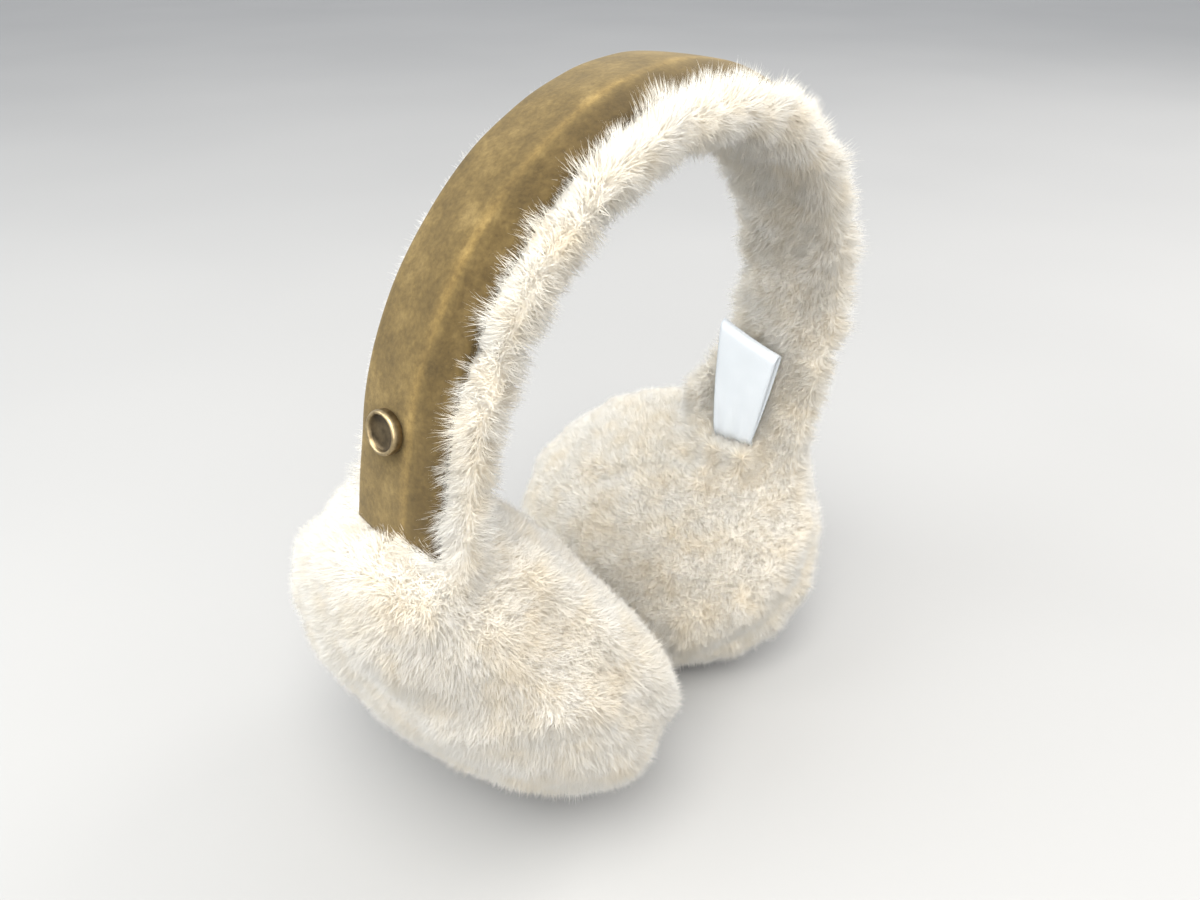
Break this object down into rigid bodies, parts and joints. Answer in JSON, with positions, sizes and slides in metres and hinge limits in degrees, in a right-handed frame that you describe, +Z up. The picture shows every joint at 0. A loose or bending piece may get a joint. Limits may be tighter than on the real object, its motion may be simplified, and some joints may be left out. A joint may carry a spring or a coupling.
{
  "type": "fur earmuffs",
  "caption": "Fur earmuffs: a suede-covered arch lined with cream shearling, with a plush oval cup at each end, standing on its cups, with a metal button and a blank sewn-in label.",
  "frame": {"origin": "on the surface that the two cups stand on, in the middle of the footprint's bounding box", "axes": "+Z up; X from ear to ear, with the buttoned side at -X and the label at +X; -Y is the front, where the fur shows widest beside the suede"},
  "size_m": [0.1852, 0.1234, 0.1958],
  "materials": {
    "shearling": "dense cream sheepskin pile, matte and soft",
    "suede": "golden-brown napped suede, matte",
    "antique_brass": "aged brass, dark in the dish and worn bright on the rim",
    "satin": "white woven satin ribbon with a soft sheen"
  },
  "bodies": {
    "root": {"band_fur": "shearling", "band_suede": "suede", "button": "antique_brass", "cup_outer_left": "shearling", "cup_inner_left": "shearling", "cup_outer_right": "shearling", "cup_inner_right": "shearling", "care_label": "satin"}
  },
  "joints": []
}
